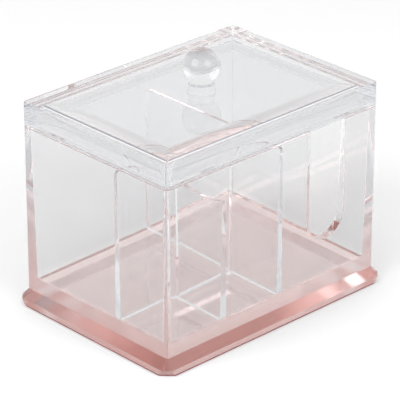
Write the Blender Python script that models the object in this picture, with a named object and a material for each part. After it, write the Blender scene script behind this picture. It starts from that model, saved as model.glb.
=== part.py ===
"""Clear box with a lift-off lid and upright dividers that part it into four pockets.

Metres, +Z up. The origin is on the table under the middle of the base, +X runs along the
long side, and the wall with the finger notch faces -Y.
"""
import math

import bmesh
import bpy

# Whole holder
BOX_LENGTH = 0.150
BOX_DEPTH = 0.1075
HEIGHT_TO_LID_TOP = 0.1163

# Fits between pieces
BOND_GAP = 0.0003
CUT_OVERRUN = 0.004

# Rose-gold plate under the base
PLATE_THICKNESS = 0.0008
PLATE_INSET = 0.0004

# Clear bevelled plinth
PLINTH_OVERHANG = 0.0044
PLINTH_SIDE_HEIGHT = 0.0028
PLINTH_BEVEL_RISE = 0.0048
PLINTH_CHAMFER = 0.0038
PLINTH_FOOT_CHAMFER = 0.0060

# Tub: walls that thicken towards the floor, as its mould needs
OUTER_CORNER_RADIUS = 0.0008
INNER_CORNER_RADIUS = 0.0006
RIM_THICKNESS = 0.0033
FOOT_THICKNESS = 0.0050
FLOOR_THICKNESS = 0.0055
FLOOR_FILLET = 0.0015
TONGUE_THICKNESS = 0.0016
TONGUE_HEIGHT = 0.0012

# Finger notch in the front wall
NOTCH_WIDTH = 0.0258
NOTCH_DEPTH = 0.0645
NOTCH_FROM_WALL = 0.0329

# Pockets, measured at the rim
PAD_POCKET_LENGTH = 0.0636
SWAB_POCKET_LENGTH = 0.0375
SWAB_POCKET_DEPTH = 0.0354

# Dividers
DIVIDER_TOP_THICKNESS = 0.0018
DIVIDER_FOOT_THICKNESS = 0.0042
DIVIDER_CORNER_RADIUS = 0.0025
TALL_DIVIDER_DROP = 0.0032
SHORT_DIVIDER_DROP = 0.0198
SHORT_DIVIDER_DIP = 0.0025

# Lid
LID_HEIGHT = 0.0137
LID_PLATE_THICKNESS = 0.0016
LID_SKIRT_THICKNESS = 0.0063
LID_SKIRT_LEAN_DEGREES = 3
LID_COVE = 0.0098

# Knob
BALL_DIAMETER = 0.0206
NECK_DIAMETER = 0.0136
NECK_FOOT_DIAMETER = 0.0150
NECK_HEIGHT = 0.0058

# Facets in rounded shapes
CORNER_STEPS = 4
FILLET_STEPS = 3
COVE_STEPS = 8
NOTCH_STEPS = 24
DIP_STEPS = 12
KNOB_SIDES = 40
NECK_STEPS = 4
BALL_STEPS = 16

# Heights above the table, from the plate upwards and from the lid's top downwards
plinth_bottom = PLATE_THICKNESS + BOND_GAP
plinth_height = PLINTH_SIDE_HEIGHT + PLINTH_BEVEL_RISE
tub_bottom = plinth_bottom + plinth_height + BOND_GAP
floor_top = tub_bottom + FLOOR_THICKNESS
lid_bottom = HEIGHT_TO_LID_TOP - LID_HEIGHT
rim = lid_bottom - BOND_GAP
tongue_top = rim + TONGUE_HEIGHT
divider_foot = floor_top + BOND_GAP

# Middles of the dividers and of the notch
cross_divider_x = BOX_LENGTH / 2 - RIM_THICKNESS - PAD_POCKET_LENGTH - DIVIDER_TOP_THICKNESS / 2
long_divider_y = -BOX_DEPTH / 2 + RIM_THICKNESS + SWAB_POCKET_DEPTH + DIVIDER_TOP_THICKNESS / 2
short_divider_x = -BOX_LENGTH / 2 + RIM_THICKNESS + SWAB_POCKET_LENGTH + DIVIDER_TOP_THICKNESS / 2
notch_x = BOX_LENGTH / 2 - RIM_THICKNESS - NOTCH_FROM_WALL


def wall_thickness(z):
    """Thickness of the tub's walls at a height above the table."""
    share = (z - floor_top) / (tongue_top - floor_top)
    return FOOT_THICKNESS + (RIM_THICKNESS - FOOT_THICKNESS) * share


def divider_thickness(z):
    """Thickness of a divider at a height above the table."""
    share = (z - divider_foot) / (rim - TALL_DIVIDER_DROP - divider_foot)
    return DIVIDER_FOOT_THICKNESS + (DIVIDER_TOP_THICKNESS - DIVIDER_FOOT_THICKNESS) * share


def clear_scene():
    for old in list(bpy.data.objects):
        bpy.data.objects.remove(old, do_unlink=True)


def material(name, colour, roughness, metallic=0.0, transmission=0.0):
    made = bpy.data.materials.new(name)
    made.use_nodes = True
    shader = made.node_tree.nodes["Principled BSDF"]
    shader.inputs["Base Color"].default_value = (*colour, 1.0)
    shader.inputs["Roughness"].default_value = roughness
    shader.inputs["Metallic"].default_value = metallic
    shader.inputs["Transmission Weight"].default_value = transmission
    return made


def clear_plastic(name):
    return material(name, (0.92, 0.93, 0.94), 0.04, transmission=0.95)


def add_object(name, bm, finish, location, parent):
    """Makes an object of a bmesh whose heights are above its own location."""
    bmesh.ops.recalc_face_normals(bm, faces=bm.faces)
    mesh = bpy.data.meshes.new(name)
    bm.to_mesh(mesh)
    bm.free()
    mesh.materials.append(finish)
    made = bpy.data.objects.new(name, mesh)
    bpy.context.collection.objects.link(made)
    made.location = location
    made.parent = parent
    return made


def add_empty(name, location, parent=None):
    made = bpy.data.objects.new(name, None)
    bpy.context.collection.objects.link(made)
    made.location = location
    made.parent = parent
    return made


def rounded_ring(inset, radius, z):
    """Outline of the box, inset from its walls' outside, with round corners."""
    half_length = BOX_LENGTH / 2 - inset
    half_depth = BOX_DEPTH / 2 - inset
    points = []
    for quarter, (side_x, side_y) in enumerate(((1, 1), (-1, 1), (-1, -1), (1, -1))):
        for step in range(CORNER_STEPS + 1):
            angle = math.radians(90) * (quarter + step / CORNER_STEPS)
            x = side_x * (half_length - radius) + radius * math.cos(angle)
            y = side_y * (half_depth - radius) + radius * math.sin(angle)
            points.append((x, y, z))
    return points


def chamfered_ring(inset, chamfer, z):
    """Outline like rounded_ring's, point for point, with its corners cut straight."""
    half_length = BOX_LENGTH / 2 - inset
    half_depth = BOX_DEPTH / 2 - inset
    points = []
    for quarter, (side_x, side_y) in enumerate(((1, 1), (-1, 1), (-1, -1), (1, -1))):
        for step in range(CORNER_STEPS + 1):
            share = step / CORNER_STEPS
            if quarter % 2 == 1:
                share = 1 - share
            x = side_x * (half_length - chamfer * share)
            y = side_y * (half_depth - chamfer * (1 - share))
            points.append((x, y, z))
    return points


def round_ring(radius, z):
    points = []
    for side in range(KNOB_SIDES):
        angle = math.radians(360) * side / KNOB_SIDES
        points.append((radius * math.cos(angle), radius * math.sin(angle), z))
    return points


def skin(rings, peak=None):
    """Closed body through rings of as many points each, ended by two faces or by a peak."""
    bm = bmesh.new()
    rows = [[bm.verts.new(point) for point in ring] for ring in rings]
    for low, high in zip(rows, rows[1:]):
        for index in range(len(low)):
            after = (index + 1) % len(low)
            bm.faces.new((low[index], low[after], high[after], high[index]))
    bm.faces.new(reversed(rows[0]))
    if peak is None:
        bm.faces.new(rows[-1])
        return bm
    top = bm.verts.new(peak)
    for index in range(len(rows[-1])):
        after = (index + 1) % len(rows[-1])
        bm.faces.new((rows[-1][index], rows[-1][after], top))
    return bm


def panel(outline, thickness_at, along_x):
    """Closed upright panel from (distance along, height) points, as thick as thickness_at says."""
    bm = bmesh.new()
    near = []
    far = []
    for along, z in outline:
        half = thickness_at(z) / 2
        if along_x:
            near.append(bm.verts.new((along, -half, z)))
            far.append(bm.verts.new((along, half, z)))
        else:
            near.append(bm.verts.new((-half, along, z)))
            far.append(bm.verts.new((half, along, z)))
    bm.faces.new(near)
    bm.faces.new(reversed(far))
    for index in range(len(near)):
        after = (index + 1) % len(near)
        bm.faces.new((near[index], far[index], far[after], near[after]))
    return bm


def end_points(end_at, outwards, top, cut, radius):
    """One end of a divider from its foot up: its cut lower corner, then its round upper one."""
    points = [(end_at(divider_foot) - outwards * cut, divider_foot)]
    if cut:
        points.append((end_at(divider_foot + cut), divider_foot + cut))
    if not radius:
        points.append((end_at(top), top))
        return points
    centre = end_at(top - radius) - outwards * radius
    for step in range(FILLET_STEPS + 1):
        angle = math.radians(90) * step / FILLET_STEPS
        points.append((centre + outwards * radius * math.cos(angle), top - radius + radius * math.sin(angle)))
    return points


def make_base_plate(parent):
    """Thin rose-gold plate that shows pink through the clear base."""
    inset = PLATE_INSET - PLINTH_OVERHANG
    rings = [chamfered_ring(inset, PLINTH_FOOT_CHAMFER, z) for z in (0, PLATE_THICKNESS)]
    finish = material("rose_gold", (0.78, 0.42, 0.38), 0.12, metallic=1.0)
    add_object("base_plate", skin(rings), finish, (0, 0, 0), parent)


def make_plinth(parent):
    """Clear block whose bevel rises to the foot of the walls, with corners cut back towards the table."""
    rings = [
        chamfered_ring(-PLINTH_OVERHANG, PLINTH_FOOT_CHAMFER, 0),
        chamfered_ring(-PLINTH_OVERHANG, PLINTH_CHAMFER, PLINTH_SIDE_HEIGHT),
        rounded_ring(0, OUTER_CORNER_RADIUS, plinth_height),
    ]
    add_object("plinth", skin(rings), clear_plastic("plinth_clear"), (0, 0, plinth_bottom), parent)


def notch_cutter(parent):
    """U-shaped cutter, open at the top, that reaches through the front wall."""
    radius = NOTCH_WIDTH / 2
    centre = rim - NOTCH_DEPTH + radius
    outline = [(radius, tongue_top + CUT_OVERRUN), (-radius, tongue_top + CUT_OVERRUN)]
    for step in range(NOTCH_STEPS + 1):
        angle = math.radians(180) * (1 + step / NOTCH_STEPS)
        outline.append((radius * math.cos(angle), centre + radius * math.sin(angle)))

    def cut_depth(z):
        return 2 * (FOOT_THICKNESS + CUT_OVERRUN)

    finish = material("cutter", (0.5, 0.5, 0.5), 0.5)
    front = -BOX_DEPTH / 2
    made = add_object("notch_cutter", panel(outline, cut_depth, True), finish, (notch_x, front, 0), parent)
    made.hide_render = True
    made.display_type = "WIRE"
    return made


def make_tub(parent):
    """Walls and floor in one moulding, with a tongue round the rim that the lid sits over."""
    tongue_inset = RIM_THICKNESS - TONGUE_THICKNESS
    tongue_radius = OUTER_CORNER_RADIUS + (INNER_CORNER_RADIUS - OUTER_CORNER_RADIUS) / 2
    rings = [
        rounded_ring(0, OUTER_CORNER_RADIUS, tub_bottom),
        rounded_ring(0, OUTER_CORNER_RADIUS, rim),
        rounded_ring(tongue_inset, tongue_radius, rim),
        rounded_ring(tongue_inset, tongue_radius, tongue_top),
        rounded_ring(RIM_THICKNESS, INNER_CORNER_RADIUS, tongue_top),
    ]
    wall_end = floor_top + FLOOR_FILLET
    for step in range(FILLET_STEPS + 1):
        angle = math.radians(90) * step / FILLET_STEPS
        inwards = FLOOR_FILLET * (1 - math.cos(angle))
        z = wall_end - FLOOR_FILLET * math.sin(angle)
        rings.append(rounded_ring(wall_thickness(wall_end) + inwards, INNER_CORNER_RADIUS, z))
    tub = add_object("tub", skin(rings), clear_plastic("tub_clear"), (0, 0, 0), parent)
    cut = tub.modifiers.new("finger_notch", "BOOLEAN")
    cut.operation = "DIFFERENCE"
    cut.solver = "EXACT"
    cut.object = notch_cutter(parent)


def make_cross_divider(parent):
    """Tall divider from the front wall to the back wall, beside the pad pocket."""
    def back_end(z):
        return BOX_DEPTH / 2 - wall_thickness(z) - BOND_GAP

    def front_end(z):
        return -back_end(z)

    top = rim - TALL_DIVIDER_DROP
    outline = end_points(back_end, 1, top, FLOOR_FILLET, DIVIDER_CORNER_RADIUS)
    outline += reversed(end_points(front_end, -1, top, FLOOR_FILLET, DIVIDER_CORNER_RADIUS))
    bm = panel(outline, divider_thickness, False)
    add_object("divider_cross", bm, clear_plastic("divider_clear"), (cross_divider_x, 0, 0), parent)


def make_long_divider(parent):
    """Tall divider from the left wall to the cross divider, behind the front pockets."""
    def left_end(z):
        return -BOX_LENGTH / 2 + wall_thickness(z) + BOND_GAP

    def right_end(z):
        return cross_divider_x - divider_thickness(z) / 2 - BOND_GAP

    top = rim - TALL_DIVIDER_DROP
    outline = end_points(right_end, 1, top, 0, 0)
    outline += reversed(end_points(left_end, -1, top, FLOOR_FILLET, DIVIDER_CORNER_RADIUS))
    bm = panel(outline, divider_thickness, True)
    add_object("divider_long", bm, clear_plastic("divider_clear"), (0, long_divider_y, 0), parent)


def make_short_divider(parent):
    """Lower divider with a dished top, between the swab pocket and the small front pocket."""
    def front_end(z):
        return -BOX_DEPTH / 2 + wall_thickness(z) + BOND_GAP

    def back_end(z):
        return long_divider_y - divider_thickness(z) / 2 - BOND_GAP

    top = rim - SHORT_DIVIDER_DROP
    outline = end_points(back_end, 1, top, 0, 0)
    for step in range(1, DIP_STEPS):
        share = step / DIP_STEPS
        along = back_end(top) + (front_end(top) - back_end(top)) * share
        outline.append((along, top - SHORT_DIVIDER_DIP * 4 * share * (1 - share)))
    outline += reversed(end_points(front_end, -1, top, FLOOR_FILLET, 0))
    bm = panel(outline, divider_thickness, False)
    add_object("divider_short", bm, clear_plastic("divider_clear"), (short_divider_x, 0, 0), parent)


def make_lid(parent):
    """Flat plate that curves into a thick skirt, flush with the walls and rebated round the tongue."""
    lip_inset = RIM_THICKNESS - TONGUE_THICKNESS - BOND_GAP
    lip_radius = OUTER_CORNER_RADIUS + (INNER_CORNER_RADIUS - OUTER_CORNER_RADIUS) / 2
    inner_bottom = TONGUE_HEIGHT
    inner_top = LID_HEIGHT - LID_PLATE_THICKNESS
    rings = [
        rounded_ring(0, OUTER_CORNER_RADIUS, LID_HEIGHT),
        rounded_ring(0, OUTER_CORNER_RADIUS, 0),
        rounded_ring(lip_inset, lip_radius, 0),
        rounded_ring(lip_inset, lip_radius, inner_bottom),
        rounded_ring(LID_SKIRT_THICKNESS, INNER_CORNER_RADIUS, inner_bottom),
    ]
    lean = math.radians(LID_SKIRT_LEAN_DEGREES)
    cove_bottom = inner_top - LID_COVE * (1 - math.sin(lean))
    cove_inset = LID_SKIRT_THICKNESS + (cove_bottom - inner_bottom) * math.tan(lean)
    for step in range(COVE_STEPS + 1):
        angle = lean + (math.radians(90) - lean) * step / COVE_STEPS
        inset = cove_inset + LID_COVE * (math.cos(lean) - math.cos(angle))
        z = inner_top - LID_COVE * (1 - math.sin(angle))
        rings.append(rounded_ring(inset, INNER_CORNER_RADIUS, z))
    add_object("lid", skin(rings), clear_plastic("lid_clear"), (0, 0, 0), parent)


def make_knob(parent):
    """Clear ball on a short flared neck, bonded to the middle of the lid."""
    ball_radius = BALL_DIAMETER / 2
    neck_radius = NECK_DIAMETER / 2
    flare = (NECK_FOOT_DIAMETER - NECK_DIAMETER) / 2
    rings = []
    for step in range(NECK_STEPS + 1):
        share = step / NECK_STEPS
        rings.append(round_ring(neck_radius + flare * (1 - share) ** 2, NECK_HEIGHT * share))
    start = math.asin(neck_radius / ball_radius)
    centre = NECK_HEIGHT + ball_radius * math.cos(start)
    for step in range(1, BALL_STEPS):
        angle = start + (math.radians(180) - start) * step / BALL_STEPS
        rings.append(round_ring(ball_radius * math.sin(angle), centre - ball_radius * math.cos(angle)))
    bm = skin(rings, (0, 0, centre + ball_radius))
    foot = LID_HEIGHT + BOND_GAP
    knob = add_object("knob", bm, clear_plastic("knob_clear"), (0, 0, foot), parent)
    knob.data.shade_smooth()
    knob.data.set_sharp_from_angle(angle=math.radians(40))


def main():
    clear_scene()
    holder = add_empty("holder", (0, 0, 0))
    make_base_plate(holder)
    make_plinth(holder)
    make_tub(holder)
    make_cross_divider(holder)
    make_long_divider(holder)
    make_short_divider(holder)
    lid_lift = add_empty("lid_lift", (0, 0, lid_bottom), holder)
    make_lid(lid_lift)
    make_knob(lid_lift)


main()
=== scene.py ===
"""Looks of a clear lidded box on a rose-gold base, made as a small Blender add-on.

Metres, +Z up. The origin is on the table under the middle of the base, +X runs along the
long side towards the pocket with the notch, and the wall with the notch faces -Y.
"""
import math

import bmesh
import bpy
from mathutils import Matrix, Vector


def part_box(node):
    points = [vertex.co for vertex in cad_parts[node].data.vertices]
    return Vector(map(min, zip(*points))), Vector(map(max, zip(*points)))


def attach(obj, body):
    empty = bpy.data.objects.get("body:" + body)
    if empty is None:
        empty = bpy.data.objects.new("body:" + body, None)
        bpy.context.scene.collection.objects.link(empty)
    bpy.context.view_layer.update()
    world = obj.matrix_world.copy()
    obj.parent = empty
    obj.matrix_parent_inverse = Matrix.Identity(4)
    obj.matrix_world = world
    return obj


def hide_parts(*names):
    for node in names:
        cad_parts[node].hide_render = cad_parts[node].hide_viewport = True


bl_info = {
    "name": "Clear Swab Box",
    "version": (1, 0, 0),
    "blender": (4, 5, 0),
    "location": "3D View > Sidebar > Swab Box",
    "description": "Models a clear lidded box with dividers on a rose-gold base",
    "category": "Object",
}

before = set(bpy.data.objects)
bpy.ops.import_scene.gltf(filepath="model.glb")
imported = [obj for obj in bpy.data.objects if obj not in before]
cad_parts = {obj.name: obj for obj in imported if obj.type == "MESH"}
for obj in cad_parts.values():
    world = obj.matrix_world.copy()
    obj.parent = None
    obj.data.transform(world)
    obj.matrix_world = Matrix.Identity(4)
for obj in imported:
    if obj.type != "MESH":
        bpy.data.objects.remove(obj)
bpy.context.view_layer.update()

# Places that every piece is modelled from
plate_low, plate_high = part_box("base_plate")
plinth_low, plinth_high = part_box("plinth")
tub_low, tub_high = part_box("tub")
lid_low, lid_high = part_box("lid")
knob_low, knob_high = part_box("knob")
cross_low, cross_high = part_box("divider_cross")
long_low, long_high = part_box("divider_long")
short_low, short_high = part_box("divider_short")

UP = Vector((0, 0, 1))

# Modelling
SAME_PLACE = 1e-5  # Places nearer to each other than this are one
FACING = 0.9  # A face looks along an axis when its normal has more than this of it
QUARTER_TURN = math.radians(90)
SHARP_ANGLE = math.radians(40)  # Edges sharper than this are polished round
SMOOTH_ANGLE = math.radians(35)  # Faces that meet at less than this are shaded as one
FLAT_WEIGHT = 100  # How much the flat faces outweigh the rounds in the shading
OUTER_CORNER_SEGMENTS = 4
INNER_CORNER_SEGMENTS = 6
FILLET_SEGMENTS = 4
TOP_CORNER_SEGMENTS = 8
NOTCH_SEGMENTS = 32
NOTCH_ROUND_SHARE = 0.9995  # Keeps a sliver of flat between the notch's two bottom rounds
DISH_SEGMENTS = 256
FILLET_STEPS = 8
COVE_STEPS = 24
NECK_STEPS = 8
BALL_SEGMENTS = 96
BALL_RINGS = 64

# Materials
PLASTIC_IOR = 1.49
FLOW_TINT = (0.9, 0.9, 0.92, 1)
FLOW_TINT_CHANGE = 0.3
WAVE_HEIGHT = 0.00006
TINT_BLEND_HEIGHT = 0.002  # Height over which the floor's paler tint turns to the walls'
GRAIN_SHADE = 0.94  # How much darker the rose gold's grain is
SATIN_ROUGHNESS = (0.12, 0.22)
SIDE_SHADE_FACING = (0.3, 0.7)  # Painted shade: from the plate's shaded sides and underside to its top, as the upward part of the normal

# Stage
SENSOR_WIDTH = 36
CLIP_RANGE = (0.05, 50)
FLOOR_SIDES = 96
FLOOR_COLOUR = (0.97, 0.97, 0.97, 1)
WHITE = (1, 1, 1, 1)
ROOM_LIGHT = 0.78  # Strength of the room's light on the floor
DIM_COLOUR = (0.32, 0.33, 0.38, 1)  # The room low on the camera's side, where only reflections find it
DIM_HEIGHTS = (0.20, 0.08)  # Upward part of a direction where the dim room ends and where it is full
DIM_TURNS = (-0.35, -0.15)  # The same for the direction's part towards the camera's side
BOUNCES = 64
# Name, azimuth and elevation in degrees, distance and diameter in metres, and watts of each lamp
SOFT_BOXES = (
    ("Left soft box", -90, 37, 1.0, 0.8, 5.0),
    ("Right soft box", 2, 32, 1.0, 0.7, 3.8),
)


class SwabBoxSizes(bpy.types.PropertyGroup):
    """Sizes of the holder that the frame's boxes don't give."""

    rim_thickness: bpy.props.FloatProperty(
        name="Wall at rim", description="Thickness of the walls under the lid", default=0.0033, unit="LENGTH")
    foot_thickness: bpy.props.FloatProperty(
        name="Wall at foot", description="Thickness of the walls at the floor", default=0.0050, unit="LENGTH")
    floor_thickness: bpy.props.FloatProperty(
        name="Floor", description="Thickness of the tub's floor", default=0.0055, unit="LENGTH")
    floor_fillet: bpy.props.FloatProperty(
        name="Floor fillet", description="Radius between floor and walls", default=0.0015, unit="LENGTH")
    tongue_height: bpy.props.FloatProperty(
        name="Tongue height", description="Height of the rim's tongue inside the lid",
        default=0.0012, unit="LENGTH")
    tongue_thickness: bpy.props.FloatProperty(
        name="Tongue thickness", description="Thickness of the rim's tongue", default=0.0016, unit="LENGTH")
    outer_corner: bpy.props.FloatProperty(
        name="Outer corner", description="Radius of the upright outer corners", default=0.0008, unit="LENGTH")
    inner_corner: bpy.props.FloatProperty(
        name="Inner corner", description="Radius of the upright inner corners", default=0.0006, unit="LENGTH")
    edge_round: bpy.props.FloatProperty(
        name="Edge rounding", description="Radius that polishing leaves on edges",
        default=0.0002, unit="LENGTH")
    fit_gap: bpy.props.FloatProperty(
        name="Fit", description="Gap between the lid and the tub", default=0.0003, unit="LENGTH")
    bond_depth: bpy.props.FloatProperty(
        name="Bond", description="Depth that the plate is bonded into the plinth",
        default=0.00005, unit="LENGTH")
    notch_width: bpy.props.FloatProperty(
        name="Notch width", description="Width of the finger notch", default=0.0258, unit="LENGTH")
    notch_depth: bpy.props.FloatProperty(
        name="Notch depth", description="Depth of the finger notch under the rim",
        default=0.0645, unit="LENGTH")
    notch_from_wall: bpy.props.FloatProperty(
        name="Notch place", description="From the right wall's inside at the rim to the middle of the notch",
        default=0.0329, unit="LENGTH")
    divider_top: bpy.props.FloatProperty(
        name="Divider top", description="Thickness of a divider's top edge", default=0.0018, unit="LENGTH")
    divider_corner: bpy.props.FloatProperty(
        name="Divider corner", description="Radius of a tall divider's top corner",
        default=0.0025, unit="LENGTH")
    divider_dip: bpy.props.FloatProperty(
        name="Divider dip", description="Depth of the dished top of the low divider",
        default=0.0025, unit="LENGTH")
    plinth_side: bpy.props.FloatProperty(
        name="Plinth side", description="Height of the plinth's upright side", default=0.0028, unit="LENGTH")
    plinth_chamfer: bpy.props.FloatProperty(
        name="Plinth corner cut", description="Cut of the plinth's corners at its widest", default=0.0038,
        unit="LENGTH")
    plinth_foot_chamfer: bpy.props.FloatProperty(
        name="Base corner cut", description="Cut of the base's corners on the table",
        default=0.0060, unit="LENGTH")
    lid_plate: bpy.props.FloatProperty(
        name="Lid plate", description="Thickness of the lid's plate", default=0.0016, unit="LENGTH")
    lid_skirt: bpy.props.FloatProperty(
        name="Lid skirt", description="Thickness of the skirt at its foot", default=0.0063, unit="LENGTH")
    lid_lean: bpy.props.FloatProperty(
        name="Lid lean", description="Lean of the skirt's inside", default=math.radians(3), unit="ROTATION")
    lid_cove: bpy.props.FloatProperty(
        name="Lid cove", description="Radius of the curve from the lid's plate into its skirt",
        default=0.0098,
        unit="LENGTH")
    neck_width: bpy.props.FloatProperty(
        name="Neck", description="Diameter of the knob's neck under the ball", default=0.0136, unit="LENGTH")
    neck_foot_width: bpy.props.FloatProperty(
        name="Neck foot", description="Diameter of the knob's neck on the lid", default=0.0150, unit="LENGTH")


class SwabBoxFinishes(bpy.types.PropertyGroup):
    """Colours of the holder's plastics and of its base."""

    lid: bpy.props.FloatVectorProperty(
        name="Lid plastic", description="Tint that one pane of the lid gives", subtype="COLOR",
        size=3, default=(0.86, 0.865, 0.87), min=0, max=1)
    tub: bpy.props.FloatVectorProperty(
        name="Tub plastic", description="Tint that one wall of the tub gives", subtype="COLOR",
        size=3, default=(0.897, 0.898, 0.90), min=0, max=1)
    divider: bpy.props.FloatVectorProperty(
        name="Divider plastic", description="Tint that a divider gives", subtype="COLOR", size=3,
        default=(0.985, 0.985, 0.985), min=0, max=1)
    plinth: bpy.props.FloatVectorProperty(
        name="Plinth plastic", description="Tint of the plinth and the floor over it",
        subtype="COLOR", size=3,
        default=(0.985, 0.985, 0.985), min=0, max=1)
    depth_tint: bpy.props.FloatVectorProperty(
        name="Depth tint", description="Colour that long ways through the plastic turn to",
        subtype="COLOR", size=3,
        default=(0.62, 0.64, 0.70), min=0, max=1)
    rose_gold: bpy.props.FloatVectorProperty(
        name="Rose gold", description="Colour of the plate under the base", subtype="COLOR", size=3,
        default=(0.99, 0.815, 0.785), min=0, max=1)
    # Painted shade: the deep red that the rose gold's sides and underside take in place of their shading
    rose_gold_side_shade: bpy.props.FloatVectorProperty(
        name="Rose gold edge", description="Colour of the plate's cut edge", subtype="COLOR", size=3,
        default=(0.30, 0.05, 0.06), min=0, max=1)


class SwabBoxStage(bpy.types.PropertyGroup):
    """Places of the camera and the floor."""

    azimuth: bpy.props.FloatProperty(
        name="Azimuth", description="Turn of the camera round the holder", default=math.radians(-43.606),
        unit="ROTATION")
    elevation: bpy.props.FloatProperty(
        name="Elevation", description="Camera's angle above the table", default=math.radians(25.851),
        unit="ROTATION")
    distance: bpy.props.FloatProperty(
        name="Distance", description="From the camera to its aim", default=1.45, unit="LENGTH")
    lens: bpy.props.FloatProperty(
        name="Lens", description="Focal length", default=248.34, unit="CAMERA")
    aim: bpy.props.FloatVectorProperty(
        name="Aim", description="Point that the camera looks at", subtype="XYZ", size=3,
        default=(-0.00083, 0.00018, 0.05409))
    floor_radius: bpy.props.FloatProperty(
        name="Floor", description="Radius of the round white floor", default=0.38, unit="LENGTH")
    floor_back: bpy.props.FloatProperty(
        name="Floor place", description="From the holder back to the floor's middle, away from the camera",
        default=0.17, unit="LENGTH")
    floor_drop: bpy.props.FloatProperty(
        name="Floor drop", description="Gap between the holder and the floor", default=0.0002, unit="LENGTH")


def sizes():
    return bpy.context.scene.swab_box_sizes


def finishes():
    return bpy.context.scene.swab_box_finishes


# Modelling by hand

def new_block(name, low, high):
    """A cube drawn out to two corners, with its place in its mesh."""
    bpy.ops.object.select_all(action="DESELECT")
    bpy.ops.mesh.primitive_cube_add(size=1, location=(Vector(low) + Vector(high)) / 2)
    made = bpy.context.active_object
    made.name = name
    made.data.name = name
    made.scale = Vector(high) - Vector(low)
    bpy.ops.object.transform_apply(location=True, rotation=True, scale=True)
    return made


def activate(made):
    bpy.ops.object.select_all(action="DESELECT")
    made.select_set(True)
    bpy.context.view_layer.objects.active = made


def edit(made):
    activate(made)
    bpy.ops.object.mode_set(mode="EDIT")
    bpy.ops.mesh.select_all(action="DESELECT")


def leave():
    bpy.ops.object.mode_set(mode="OBJECT")


def pick_faces(made, wanted):
    """Selects the faces whose middle and normal wanted accepts."""
    bpy.ops.mesh.select_mode(type="FACE")
    bpy.ops.mesh.select_all(action="DESELECT")
    bm = bmesh.from_edit_mesh(made.data)
    for face in bm.faces:
        face.select_set(wanted(face.calc_center_median(), face.normal))
    bmesh.update_edit_mesh(made.data)


def pick_edges(made, wanted):
    """Selects the edges whose two ends wanted accepts."""
    bpy.ops.mesh.select_mode(type="EDGE")
    bpy.ops.mesh.select_all(action="DESELECT")
    bm = bmesh.from_edit_mesh(made.data)
    for edge in bm.edges:
        edge.select_set(wanted(edge.verts[0].co, edge.verts[1].co))
    bmesh.update_edit_mesh(made.data)


def near(a, b):
    return abs(a - b) < SAME_PLACE


def is_upright(start, end):
    """True of an edge that climbs more than it leans."""
    return abs(end.z - start.z) > (end - start).xy.length


def pick_upright(made, half_length, shortest=0.0):
    """Selects the upright edges whose upper ends lie half_length from the middle."""
    pick_edges(made, lambda start, end: is_upright(start, end) and abs(end.z - start.z) > shortest
               and near(abs(max(start, end, key=lambda co: co.z).x), half_length))


def round_picked(radius, segments):
    """Rounds the picked edges, or cuts them off straight with one segment."""
    bpy.ops.mesh.bevel(offset=radius, segments=segments, affect="EDGES", clamp_overlap=False)


def extrude_picked(height):
    bpy.ops.mesh.extrude_region_move(TRANSFORM_OT_translate={"value": (0, 0, height)})


def spread_picked(x_share, y_share):
    bpy.ops.transform.resize(value=(x_share, y_share, 1), center_override=(0, 0, 0))


def curve_inwards(outline, radius, direction, steps, lean=0.0):
    """Draws the picked end face on along an arc that turns inwards.

    outline is the face's upper right corner, direction is 1 upwards and -1 downwards, and lean is how far
    the arc's start already leans.
    """
    before = outline
    climbed = 0
    for step in range(1, steps + 1):
        angle = lean + (QUARTER_TURN - lean) * step / steps
        inwards = radius * (math.cos(lean) - math.cos(angle))
        climb = radius * (math.sin(angle) - math.sin(lean))
        after = outline - Vector((inwards, inwards))
        extrude_picked(direction * (climb - climbed))
        spread_picked(after.x / before.x, after.y / before.y)
        before = after
        climbed = climb


def polish(made, radius, segments=3, has_flats=True):
    """Rounds the sharp edges that are left and smooths the rounds."""
    rounding = made.modifiers.new("Polished edges", "BEVEL")
    rounding.width = radius
    rounding.segments = segments
    rounding.limit_method = "ANGLE"
    rounding.angle_limit = SHARP_ANGLE
    rounding.use_clamp_overlap = True
    rounding.miter_outer = "MITER_ARC"
    activate(made)
    bpy.ops.object.modifier_apply(modifier=rounding.name)
    smooth(made)
    if has_flats:
        flatten(made)


def cut_with(made, cutter):
    """Takes a cutter's shape out of a piece and removes the cutter."""
    cut = made.modifiers.new("Cut", "BOOLEAN")
    cut.operation = "DIFFERENCE"
    cut.solver = "EXACT"
    cut.object = cutter
    activate(made)
    bpy.ops.object.modifier_apply(modifier=cut.name)
    bpy.data.objects.remove(cutter)


def smooth(made):
    activate(made)
    bpy.ops.object.shade_smooth_by_angle(angle=SMOOTH_ANGLE)


def flatten(made):
    """Keeps the flat faces optically flat up to the rounds beside them."""
    weighted = made.modifiers.new("Flat faces", "WEIGHTED_NORMAL")
    weighted.mode = "FACE_AREA"
    weighted.weight = FLAT_WEIGHT
    weighted.keep_sharp = True
    bpy.ops.object.modifier_apply(modifier=weighted.name)


def finish_piece(made, finish, slot, body, *nodes):
    made.data.materials.clear()
    made.data.materials.append(finish)
    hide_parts(*nodes)
    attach(made, body)


# Materials

def node_at(tree, kind, x, y, **values):
    made = tree.nodes.new(kind)
    made.location = (x, y)
    for name, value in values.items():
        setattr(made, name, value)
    return made


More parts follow.
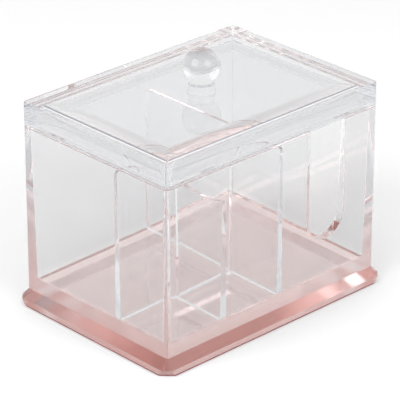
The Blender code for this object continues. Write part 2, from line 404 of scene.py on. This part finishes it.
def moulding_group():
    """Shader group: the faint flow waves and the haze that a mould leaves in clear plastic."""
    if "Moulding" in bpy.data.node_groups:
        return bpy.data.node_groups["Moulding"]
    tree = bpy.data.node_groups.new("Moulding", "ShaderNodeTree")
    for name, kind in (("Flow Scale", "NodeSocketFloat"), ("Haze", "NodeSocketFloat"),
                       ("Tint", "NodeSocketColor"), ("Tint Change", "NodeSocketFloat")):
        tree.interface.new_socket(name, in_out="INPUT", socket_type=kind)
    for name, kind in (("Height", "NodeSocketFloat"), ("Roughness", "NodeSocketFloat"),
                       ("Color", "NodeSocketColor")):
        tree.interface.new_socket(name, in_out="OUTPUT", socket_type=kind)
    inlet = node_at(tree, "NodeGroupInput", -800, 0)
    outlet = node_at(tree, "NodeGroupOutput", 600, 0)
    place = node_at(tree, "ShaderNodeTexCoord", -800, 300)
    flow = node_at(tree, "ShaderNodeTexNoise", -400, 300)
    flow.inputs["Detail"].default_value = 1.5
    flow.inputs["Roughness"].default_value = 0.4
    tree.links.new(place.outputs["Object"], flow.inputs["Vector"])
    tree.links.new(inlet.outputs["Flow Scale"], flow.inputs["Scale"])
    tree.links.new(flow.outputs["Fac"], outlet.inputs["Height"])
    haze = node_at(tree, "ShaderNodeTexNoise", -400, 0)
    haze.inputs["Scale"].default_value = 300
    haze.inputs["Detail"].default_value = 4
    tree.links.new(place.outputs["Object"], haze.inputs["Vector"])
    rough = node_at(tree, "ShaderNodeMath", 0, 0, operation="MULTIPLY")
    tree.links.new(haze.outputs["Fac"], rough.inputs[0])
    tree.links.new(inlet.outputs["Haze"], rough.inputs[1])
    tree.links.new(rough.outputs["Value"], outlet.inputs["Roughness"])
    change = node_at(tree, "ShaderNodeMath", 0, -200, operation="MULTIPLY")
    tree.links.new(flow.outputs["Fac"], change.inputs[0])
    tree.links.new(inlet.outputs["Tint Change"], change.inputs[1])
    tinted = node_at(tree, "ShaderNodeMix", 200, -200, data_type="RGBA", blend_type="MULTIPLY")
    tinted.inputs["B"].default_value = FLOW_TINT
    tree.links.new(change.outputs["Value"], tinted.inputs["Factor"])
    tree.links.new(inlet.outputs["Tint"], tinted.inputs["A"])
    tree.links.new(tinted.outputs["Result"], outlet.inputs["Color"])
    return tree


def clear_plastic(name, tint, density, flow_scale, haze=0.02, clear_below=None):
    """Clear moulded plastic with a clean gloss, which turns bluish grey over long ways through it.

    density is the strength of that turn, flow_scale the number of the mould's flow waves in a metre, and haze
    the roughness. Under the height clear_below the plastic takes the plinth's paler tint.
    """
    made = bpy.data.materials.new(name)
    made.use_nodes = True
    tree = made.node_tree
    shader = tree.nodes["Principled BSDF"]
    shader.inputs["Transmission Weight"].default_value = 1
    shader.inputs["Metallic"].default_value = 0
    shader.inputs["IOR"].default_value = PLASTIC_IOR
    moulding = node_at(tree, "ShaderNodeGroup", -400, 0, node_tree=moulding_group())
    moulding.inputs["Flow Scale"].default_value = flow_scale
    moulding.inputs["Haze"].default_value = haze
    moulding.inputs["Tint"].default_value = (*tint, 1)
    moulding.inputs["Tint Change"].default_value = FLOW_TINT_CHANGE
    if clear_below is None:
        tree.links.new(moulding.outputs["Color"], shader.inputs["Base Color"])
    else:
        place = node_at(tree, "ShaderNodeTexCoord", -900, 400)
        height = node_at(tree, "ShaderNodeSeparateXYZ", -700, 400)
        tree.links.new(place.outputs["Object"], height.inputs["Vector"])
        above = node_at(tree, "ShaderNodeMapRange", -500, 400)
        above.inputs["From Min"].default_value = clear_below
        above.inputs["From Max"].default_value = clear_below + TINT_BLEND_HEIGHT
        tree.links.new(height.outputs["Z"], above.inputs["Value"])
        blend = node_at(tree, "ShaderNodeMix", -200, 300, data_type="RGBA", blend_type="MIX")
        blend.inputs["A"].default_value = (*finishes().plinth, 1)
        tree.links.new(above.outputs["Result"], blend.inputs["Factor"])
        tree.links.new(moulding.outputs["Color"], blend.inputs["B"])
        tree.links.new(blend.outputs["Result"], shader.inputs["Base Color"])
    tree.links.new(moulding.outputs["Roughness"], shader.inputs["Roughness"])
    waves = node_at(tree, "ShaderNodeBump", -200, -300)
    waves.inputs["Strength"].default_value = 1
    waves.inputs["Distance"].default_value = WAVE_HEIGHT
    tree.links.new(moulding.outputs["Height"], waves.inputs["Height"])
    tree.links.new(waves.outputs["Normal"], shader.inputs["Normal"])
    depth = node_at(tree, "ShaderNodeVolumeAbsorption", 0, -400)
    depth.inputs["Color"].default_value = (*finishes().depth_tint, 1)
    depth.inputs["Density"].default_value = density
    tree.links.new(depth.outputs["Volume"], tree.nodes["Material Output"].inputs["Volume"])
    return made


def rose_gold_metal():
    """Satin rose gold, with deep red painted shade on the plate's sides and underside."""
    made = bpy.data.materials.new("Rose gold")
    made.use_nodes = True
    tree = made.node_tree
    shader = tree.nodes["Principled BSDF"]
    shader.inputs["Metallic"].default_value = 1
    place = node_at(tree, "ShaderNodeTexCoord", -900, 0)
    grain = node_at(tree, "ShaderNodeTexNoise", -700, 200)
    grain.inputs["Scale"].default_value = 60
    grain.inputs["Detail"].default_value = 3
    tree.links.new(place.outputs["Object"], grain.inputs["Vector"])
    shade = node_at(tree, "ShaderNodeMix", -400, 200, data_type="RGBA", blend_type="MIX")
    shade.inputs["A"].default_value = (*finishes().rose_gold, 1)
    shade.inputs["B"].default_value = (*(value * GRAIN_SHADE for value in finishes().rose_gold), 1)
    tree.links.new(grain.outputs["Fac"], shade.inputs["Factor"])
    # Painted shade: faces that don't look up turn to the deep red side shade
    facing = node_at(tree, "ShaderNodeSeparateXYZ", -700, -100)
    tree.links.new(place.outputs["Normal"], facing.inputs["Vector"])
    edge = node_at(tree, "ShaderNodeMapRange", -500, -100)
    edge.inputs["From Min"].default_value, edge.inputs["From Max"].default_value = SIDE_SHADE_FACING
    tree.links.new(facing.outputs["Z"], edge.inputs["Value"])
    colour = node_at(tree, "ShaderNodeMix", -200, 100, data_type="RGBA", blend_type="MIX")
    colour.inputs["A"].default_value = (*finishes().rose_gold_side_shade, 1)
    tree.links.new(edge.outputs["Result"], colour.inputs["Factor"])
    tree.links.new(shade.outputs["Result"], colour.inputs["B"])
    tree.links.new(colour.outputs["Result"], shader.inputs["Base Color"])
    satin = node_at(tree, "ShaderNodeMapRange", -400, -300)
    satin.inputs["To Min"].default_value, satin.inputs["To Max"].default_value = SATIN_ROUGHNESS
    tree.links.new(grain.outputs["Fac"], satin.inputs["Value"])
    tree.links.new(satin.outputs["Result"], shader.inputs["Roughness"])
    return made


# Pieces

class SWABBOX_OT_base_plate(bpy.types.Operator):
    """Model the rose-gold plate under the base"""

    bl_idname = "swab_box.base_plate"
    bl_label = "Base Plate"

    def execute(self, context):
        made = new_block("rose_gold_plate", plate_low, plate_high)
        edit(made)
        pick_edges(made, is_upright)
        round_picked(sizes().plinth_foot_chamfer, 1)
        leave()
        polish(made, sizes().edge_round / 2, segments=2)
        finish_piece(made, rose_gold_metal(), "rose_gold", "box", "base_plate")
        return {"FINISHED"}


class SWABBOX_OT_plinth(bpy.types.Operator):
    """Model the clear bevelled plinth"""

    bl_idname = "swab_box.plinth"
    bl_label = "Plinth"

    def execute(self, context):
        shoulder = plinth_low.z + sizes().plinth_side
        foot_cut = sizes().plinth_foot_chamfer
        cut = sizes().plinth_chamfer
        corner = sizes().outer_corner
        bonded_foot = plate_high.z - sizes().bond_depth
        made = new_block("plinth_block", (plinth_low.x, plinth_low.y, bonded_foot),
                         (plinth_high.x, plinth_high.y, shoulder))
        edit(made)
        pick_edges(made, is_upright)
        round_picked(foot_cut, 1)

        def spread_sides(height, x_share, y_share, along_x_share, along_y_share):
            """Moves the sides' two pairs of edges at a height, and draws each pair out along itself."""
            def on_side(start, end, axis):
                reach = plinth_high[axis]
                return (near(start.z, height) and near(end.z, height)
                        and near(abs(start[axis]), reach) and near(abs(end[axis]), reach))

            pick_edges(made, lambda start, end: on_side(start, end, 0))
            spread_picked(x_share, along_y_share)
            pick_edges(made, lambda start, end: on_side(start, end, 1))
            spread_picked(along_x_share, y_share)

        spread_sides(shoulder, 1, 1, (plinth_high.x - cut) / (plinth_high.x - foot_cut),
                     (plinth_high.y - cut) / (plinth_high.y - foot_cut))
        pick_faces(made, lambda middle, normal: normal.z > FACING)
        extrude_picked(plinth_high.z - shoulder)
        spread_sides(plinth_high.z, tub_high.x / plinth_high.x, tub_high.y / plinth_high.y,
                     (tub_high.x - corner) / (plinth_high.x - cut),
                     (tub_high.y - corner) / (plinth_high.y - cut))
        leave()
        polish(made, sizes().edge_round)
        finish = clear_plastic("Plinth plastic", finishes().plinth, density=0.4, flow_scale=40)
        finish_piece(made, finish, "plinth_clear", "box", "plinth")
        return {"FINISHED"}


def notch_cutter():
    """U-shaped block through the front wall."""
    half = sizes().notch_width / 2
    middle = tub_high.x - sizes().rim_thickness - sizes().notch_from_wall
    rim = tub_high.z - sizes().tongue_height
    bottom = rim - sizes().notch_depth
    clearance = sizes().foot_thickness
    cutter = new_block("notch_cutter", (middle - half, tub_low.y - clearance, bottom),
                       (middle + half, tub_low.y + 2 * clearance, tub_high.z + clearance))
    edit(cutter)
    pick_edges(cutter, lambda start, end: near(start.z, bottom) and near(end.z, bottom)
               and near(start.x, end.x))
    round_picked(half * NOTCH_ROUND_SHARE, NOTCH_SEGMENTS)
    leave()
    return cutter


class SWABBOX_OT_tub(bpy.types.Operator):
    """Model the four walls and the floor with the finger notch"""

    bl_idname = "swab_box.tub"
    bl_label = "Tub"

    def execute(self, context):
        rim = tub_high.z - sizes().tongue_height
        floor_top = tub_low.z + sizes().floor_thickness
        shelf = sizes().rim_thickness - sizes().tongue_thickness
        bonded_foot = plinth_high.z - sizes().bond_depth
        made = new_block("tub_moulding", (tub_low.x, tub_low.y, bonded_foot), (tub_high.x, tub_high.y, rim))
        edit(made)
        pick_faces(made, lambda middle, normal: normal.z > FACING)
        bpy.ops.mesh.inset(thickness=shelf)
        extrude_picked(sizes().tongue_height)
        bpy.ops.mesh.inset(thickness=sizes().tongue_thickness)
        fillet_top = floor_top + sizes().floor_fillet
        extrude_picked(fillet_top - tub_high.z)
        at_rim = tub_high.xy - Vector((sizes().rim_thickness,) * 2)
        fillet_share = (fillet_top - floor_top) / (tub_high.z - floor_top)
        foot = sizes().foot_thickness + (sizes().rim_thickness - sizes().foot_thickness) * fillet_share
        at_foot = tub_high.xy - Vector((foot, foot))
        spread_picked(at_foot.x / at_rim.x, at_foot.y / at_rim.y)

        pick_upright(made, tub_high.x)
        round_picked(sizes().outer_corner, OUTER_CORNER_SEGMENTS)
        pick_upright(made, tub_high.x - shelf)
        round_picked((sizes().outer_corner + sizes().inner_corner) / 2, INNER_CORNER_SEGMENTS)
        pick_upright(made, at_rim.x, sizes().notch_depth)
        round_picked(sizes().inner_corner, INNER_CORNER_SEGMENTS)
        pick_faces(made, lambda middle, normal: normal.z > FACING and near(middle.z, fillet_top))
        curve_inwards(at_foot, sizes().floor_fillet, -1, FILLET_STEPS)
        leave()
        cut_with(made, notch_cutter())
        polish(made, sizes().edge_round)
        finish = clear_plastic("Tub plastic", finishes().tub, density=2, flow_scale=30,
                               clear_below=fillet_top)
        finish_piece(made, finish, "tub_clear", "box", "tub")
        return {"FINISHED"}


def divider_plastic():
    if "Divider plastic" in bpy.data.materials:
        return bpy.data.materials["Divider plastic"]
    return clear_plastic("Divider plastic", finishes().divider, density=2, flow_scale=40)


def upright_panel(name, low, high, axis, ends):
    """A divider that gets thinner upwards, axis being the way across it.

    ends gives, for its two ends, how far the foot stands back, whether it meets a wall and whether its top
    is round.
    """
    along = 1 - axis
    top_thickness = thickness_at(high.z)
    made = new_block(name, low, high)
    edit(made)
    pick_faces(made, lambda middle, normal: normal.z > FACING)
    thinner = [1, 1, 1]
    thinner[axis] = top_thickness / (high[axis] - low[axis])
    bpy.ops.transform.resize(value=thinner, center_override=(low + high) / 2)
    for end, (stands_back, at_wall, round_top) in zip((-1, 1), ends):
        place = high[along] if end > 0 else low[along]

        def pick_across(height, where):
            pick_edges(made, lambda start, stop: near(start.z, height) and near(stop.z, height)
                       and near(start[along], where) and near(stop[along], where))

        pick_across(low.z, place)
        shift = [0, 0, 0]
        shift[along] = -end * stands_back
        bpy.ops.transform.translate(value=shift)
        if at_wall:
            pick_across(low.z, place - end * stands_back)
            round_picked(sizes().floor_fillet, FILLET_SEGMENTS)
        if round_top:
            pick_across(high.z, place)
            round_picked(sizes().divider_corner, TOP_CORNER_SEGMENTS)
    leave()
    return made


def thickness_at(height):
    """Thickness of every divider at a height, from the tall ones' foot and top."""
    share = (height - cross_low.z) / (cross_high.z - cross_low.z)
    foot_thickness = cross_high.x - cross_low.x
    return foot_thickness + (sizes().divider_top - foot_thickness) * share


def dish(made, low, high):
    """Cuts a shallow round dip into the low divider's top."""
    span = high.y - low.y
    dip = sizes().divider_dip
    radius = (span ** 2 / 4 + dip ** 2) / (2 * dip)
    bpy.ops.object.select_all(action="DESELECT")
    middle = (low + high) / 2
    bpy.ops.mesh.primitive_cylinder_add(vertices=DISH_SEGMENTS, radius=radius, depth=span,
                                        rotation=(0, QUARTER_TURN, 0),
                                        location=(middle.x, middle.y, high.z - dip + radius))
    cutter = bpy.context.active_object
    bpy.ops.object.transform_apply(location=True, rotation=True, scale=True)
    cut_with(made, cutter)


class SWABBOX_OT_dividers(bpy.types.Operator):
    """Model the two tall dividers and the low one with its dished top"""

    bl_idname = "swab_box.dividers"
    bl_label = "Dividers"

    def execute(self, context):
        wall_slope = (sizes().foot_thickness - sizes().rim_thickness) / (
            tub_high.z - tub_low.z - sizes().floor_thickness)
        for name, node, low, high, axis, joined_end in (
            ("cross_panel", "divider_cross", cross_low, cross_high, 0, None),
            ("long_panel", "divider_long", long_low, long_high, 1, 1),
            ("short_panel", "divider_short", short_low, short_high, 0, 1),
        ):
            tall = near(high.z, cross_high.z)
            at_wall = ((high.z - low.z) * wall_slope, True, tall)
            at_divider = ((thickness_at(low.z) - thickness_at(high.z)) / 2, False, False)
            made = upright_panel(name, low, high, axis,
                                 [at_divider if end == joined_end else at_wall for end in (-1, 1)])
            if not tall:
                dish(made, low, high)
            polish(made, sizes().edge_round)
            finish_piece(made, divider_plastic(), "divider_clear", "box", node)
        return {"FINISHED"}


class SWABBOX_OT_lid(bpy.types.Operator):
    """Model the lid's plate and skirt"""

    bl_idname = "swab_box.lid"
    bl_label = "Lid"

    def execute(self, context):
        lip = sizes().rim_thickness - sizes().tongue_thickness - sizes().fit_gap
        ceiling = lid_high.z - sizes().lid_plate
        lean = sizes().lid_lean
        cove_foot = ceiling - sizes().lid_cove * (1 - math.sin(lean))
        skirt_foot = lid_low.z + sizes().tongue_height
        made = new_block("lid_moulding", lid_low, lid_high)
        edit(made)
        pick_faces(made, lambda middle, normal: normal.z < -FACING)
        bpy.ops.mesh.inset(thickness=lip)
        extrude_picked(sizes().tongue_height)
        bpy.ops.mesh.inset(thickness=sizes().lid_skirt - lip)
        extrude_picked(cove_foot - skirt_foot)
        at_foot = lid_high.xy - Vector((sizes().lid_skirt,) * 2)
        at_cove = at_foot - Vector(((cove_foot - skirt_foot) * math.tan(lean),) * 2)
        spread_picked(at_cove.x / at_foot.x, at_cove.y / at_foot.y)
        pick_upright(made, lid_high.x)
        round_picked(sizes().outer_corner, OUTER_CORNER_SEGMENTS)
        pick_upright(made, lid_high.x - lip)
        round_picked((sizes().outer_corner + sizes().inner_corner) / 2, INNER_CORNER_SEGMENTS)
        pick_upright(made, at_cove.x)
        round_picked(sizes().inner_corner, INNER_CORNER_SEGMENTS)
        pick_faces(made, lambda middle, normal: normal.z < -FACING and near(middle.z, cove_foot))
        curve_inwards(at_cove, sizes().lid_cove, 1, COVE_STEPS, lean)
        leave()
        polish(made, sizes().edge_round)
        finish = clear_plastic("Lid plastic", finishes().lid, density=2, flow_scale=25)
        finish_piece(made, finish, "lid_clear", "lid", "lid")
        return {"FINISHED"}


class SWABBOX_OT_knob(bpy.types.Operator):
    """Turn the clear ball knob and its neck"""

    bl_idname = "swab_box.knob"
    bl_label = "Knob"

    def execute(self, context):
        ball = (knob_high.x - knob_low.x) / 2
        neck = sizes().neck_width / 2
        flare = sizes().neck_foot_width / 2 - neck
        centre = knob_high.z - ball
        bpy.ops.object.select_all(action="DESELECT")
        bpy.ops.mesh.primitive_uv_sphere_add(segments=BALL_SEGMENTS, ring_count=BALL_RINGS, radius=ball,
                                             location=(0, 0, centre))
        made = bpy.context.active_object
        made.name = "ball_knob"
        made.data.name = "ball_knob"
        bpy.ops.object.transform_apply(location=True, rotation=True, scale=True)
        edit(made)
        joint = centre - math.sqrt(ball ** 2 - neck ** 2)
        bpy.ops.mesh.select_all(action="SELECT")
        bpy.ops.mesh.bisect(plane_co=(0, 0, joint), plane_no=-UP, use_fill=True, clear_outer=True)
        foot = knob_low.z
        for step in range(NECK_STEPS):
            pick_faces(made, lambda middle, normal: normal.z < -FACING)
            radius_before = neck + flare * (step / NECK_STEPS) ** 2
            radius_after = neck + flare * ((step + 1) / NECK_STEPS) ** 2
            extrude_picked((foot - joint) / NECK_STEPS)
            grow = radius_after / radius_before
            spread_picked(grow, grow)
        leave()
        polish(made, sizes().edge_round, has_flats=False)
        finish = clear_plastic("Knob plastic", finishes().lid, density=3, flow_scale=60, haze=0.01)
        finish_piece(made, finish, "knob_clear", "lid", "knob")
        return {"FINISHED"}


# Stage

def direction_to(azimuth, elevation):
    """Direction from the holder to a place round it, azimuth 0 being in front."""
    level = math.cos(elevation)
    return Vector((math.sin(azimuth) * level, -math.cos(azimuth) * level, math.sin(elevation)))


def put_facing(name, data, aim, back, distance):
    """Adds a lamp or camera that stands at a distance from its aim and looks at it."""
    made = bpy.data.objects.new(name, data)
    bpy.context.scene.collection.objects.link(made)
    made.location = aim + back * distance
    made.rotation_euler = (-back).to_track_quat("-Z", "Y").to_euler()
    return made


def dim_room(tree, towards_camera):
    """1 where a direction looks at the dim room low on the camera's side, else 0."""
    place = node_at(tree, "ShaderNodeTexCoord", -1400, -200)
    height = node_at(tree, "ShaderNodeSeparateXYZ", -1200, -100)
    tree.links.new(place.outputs["Generated"], height.inputs["Vector"])
    nearness = node_at(tree, "ShaderNodeVectorMath", -1200, -400, operation="DOT_PRODUCT")
    nearness.inputs[1].default_value = towards_camera
    tree.links.new(place.outputs["Generated"], nearness.inputs[0])

    both = node_at(tree, "ShaderNodeMath", -600, -300, operation="MULTIPLY")
    for index, (socket, (clear, dim)) in enumerate(((height.outputs["Z"], DIM_HEIGHTS),
                                                    (nearness.outputs["Value"], DIM_TURNS))):
        edge = node_at(tree, "ShaderNodeMapRange", -900, -250 * index, interpolation_type="SMOOTHSTEP")
        edge.inputs["From Min"].default_value = clear
        edge.inputs["From Max"].default_value = dim
        tree.links.new(socket, edge.inputs["Value"])
        tree.links.new(edge.outputs["Result"], both.inputs[index])
    return both.outputs["Value"]


def build_world(towards_camera):
    """A white room, with a dim part that only light reflected in the holder finds."""
    world = bpy.data.worlds.new("Studio")
    bpy.context.scene.world = world
    world.use_nodes = True
    tree = world.node_tree
    tree.nodes.clear()
    outlet = node_at(tree, "ShaderNodeOutputWorld", 600, 0)
    light = node_at(tree, "ShaderNodeBackground", 0, 200)
    light.inputs["Color"].default_value = WHITE
    light.inputs["Strength"].default_value = ROOM_LIGHT
    surround = node_at(tree, "ShaderNodeBackground", 0, 0)
    surround.inputs["Strength"].default_value = 1
    seen = node_at(tree, "ShaderNodeLightPath", -400, 400)
    reflected = node_at(tree, "ShaderNodeMath", -200, 100, operation="MINIMUM")
    reflected.inputs[1].default_value = 1
    tree.links.new(seen.outputs["Glossy Depth"], reflected.inputs[0])
    dimmed = node_at(tree, "ShaderNodeMath", -200, -100, operation="MULTIPLY")
    tree.links.new(dim_room(tree, towards_camera), dimmed.inputs[0])
    tree.links.new(reflected.outputs["Value"], dimmed.inputs[1])
    shade = node_at(tree, "ShaderNodeMix", 0, -100, data_type="RGBA", blend_type="MIX")
    shade.inputs["A"].default_value = WHITE
    shade.inputs["B"].default_value = DIM_COLOUR
    tree.links.new(dimmed.outputs["Value"], shade.inputs["Factor"])
    tree.links.new(shade.outputs["Result"], surround.inputs["Color"])
    camera_or_gloss = node_at(tree, "ShaderNodeMath", -200, 400, operation="MAXIMUM")
    tree.links.new(seen.outputs["Is Camera Ray"], camera_or_gloss.inputs[0])
    tree.links.new(seen.outputs["Is Glossy Ray"], camera_or_gloss.inputs[1])
    shown = node_at(tree, "ShaderNodeMath", 0, 400, operation="MAXIMUM")
    tree.links.new(camera_or_gloss.outputs["Value"], shown.inputs[0])
    tree.links.new(seen.outputs["Is Transmission Ray"], shown.inputs[1])
    mixed = node_at(tree, "ShaderNodeMixShader", 300, 0)
    tree.links.new(shown.outputs["Value"], mixed.inputs["Fac"])
    tree.links.new(light.outputs["Background"], mixed.inputs[1])
    tree.links.new(surround.outputs["Background"], mixed.inputs[2])
    tree.links.new(mixed.outputs["Shader"], outlet.inputs["Surface"])


def soft_box(name, azimuth, elevation, distance, width, watts):
    """A round soft lamp that faces the middle of the lid's top."""
    data = bpy.data.lights.new(name, "AREA")
    data.shape = "DISK"
    data.size = width
    data.energy = watts
    back = direction_to(math.radians(azimuth), math.radians(elevation))
    put_facing(name, data, UP * lid_high.z, back, distance)


class SWABBOX_OT_stage(bpy.types.Operator):
    """Set up the camera, the floor and the soft light"""

    bl_idname = "swab_box.stage"
    bl_label = "Stage"

    def execute(self, context):
        scene = context.scene
        stage = scene.swab_box_stage
        back = direction_to(stage.azimuth, stage.elevation)
        data = bpy.data.cameras.new("Camera")
        data.sensor_fit = "HORIZONTAL"
        data.sensor_width = SENSOR_WIDTH
        data.lens = stage.lens
        data.clip_start, data.clip_end = CLIP_RANGE
        scene.camera = put_facing("Camera", data, Vector(stage.aim), back, stage.distance)

        bpy.ops.object.select_all(action="DESELECT")
        towards_camera = Vector((back.x, back.y, 0)).normalized()
        place = -towards_camera * stage.floor_back
        bpy.ops.mesh.primitive_circle_add(vertices=FLOOR_SIDES, radius=stage.floor_radius, fill_type="NGON",
                                          location=(place.x, place.y, -stage.floor_drop))
        floor = context.active_object
        floor.name = "floor"
        bpy.ops.object.transform_apply(location=True, rotation=True, scale=True)
        paper = bpy.data.materials.new("White floor")
        paper.use_nodes = True
        shader = paper.node_tree.nodes["Principled BSDF"]
        shader.inputs["Base Color"].default_value = FLOOR_COLOUR
        shader.inputs["Roughness"].default_value = 1
        shader.inputs["Specular IOR Level"].default_value = 0
        floor.data.materials.append(paper)

        build_world(towards_camera)
        for lamp in SOFT_BOXES:
            soft_box(*lamp)

        scene.view_settings.view_transform = "Standard"
        scene.cycles.max_bounces = BOUNCES
        scene.cycles.transmission_bounces = BOUNCES
        scene.cycles.glossy_bounces = BOUNCES
        return {"FINISHED"}


class SWABBOX_PT_panel(bpy.types.Panel):
    """Sidebar panel that lists the holder's pieces"""

    bl_label = "Swab Box"
    bl_space_type = "VIEW_3D"
    bl_region_type = "UI"
    bl_category = "Swab Box"

    def draw(self, context):
        layout = self.layout
        for operator in OPERATORS:
            layout.operator(operator.bl_idname)
        scene = context.scene
        for group in (scene.swab_box_sizes, scene.swab_box_finishes, scene.swab_box_stage):
            for name in group.__annotations__:
                layout.prop(group, name)


GROUPS = (SwabBoxSizes, SwabBoxFinishes, SwabBoxStage)
OPERATORS = (
    SWABBOX_OT_stage,
    SWABBOX_OT_base_plate,
    SWABBOX_OT_plinth,
    SWABBOX_OT_tub,
    SWABBOX_OT_dividers,
    SWABBOX_OT_lid,
    SWABBOX_OT_knob,
)


def register():
    for made in (*GROUPS, *OPERATORS, SWABBOX_PT_panel):
        bpy.utils.register_class(made)
    bpy.types.Scene.swab_box_sizes = bpy.props.PointerProperty(type=SwabBoxSizes)
    bpy.types.Scene.swab_box_finishes = bpy.props.PointerProperty(type=SwabBoxFinishes)
    bpy.types.Scene.swab_box_stage = bpy.props.PointerProperty(type=SwabBoxStage)


def unregister():
    del bpy.types.Scene.swab_box_stage
    del bpy.types.Scene.swab_box_finishes
    del bpy.types.Scene.swab_box_sizes
    for made in reversed((*GROUPS, *OPERATORS, SWABBOX_PT_panel)):
        bpy.utils.unregister_class(made)


def main():
    register()
    bpy.ops.swab_box.stage()
    bpy.ops.swab_box.base_plate()
    bpy.ops.swab_box.plinth()
    bpy.ops.swab_box.tub()
    bpy.ops.swab_box.dividers()
    bpy.ops.swab_box.lid()
    bpy.ops.swab_box.knob()


if __name__ == "__main__":
    main()
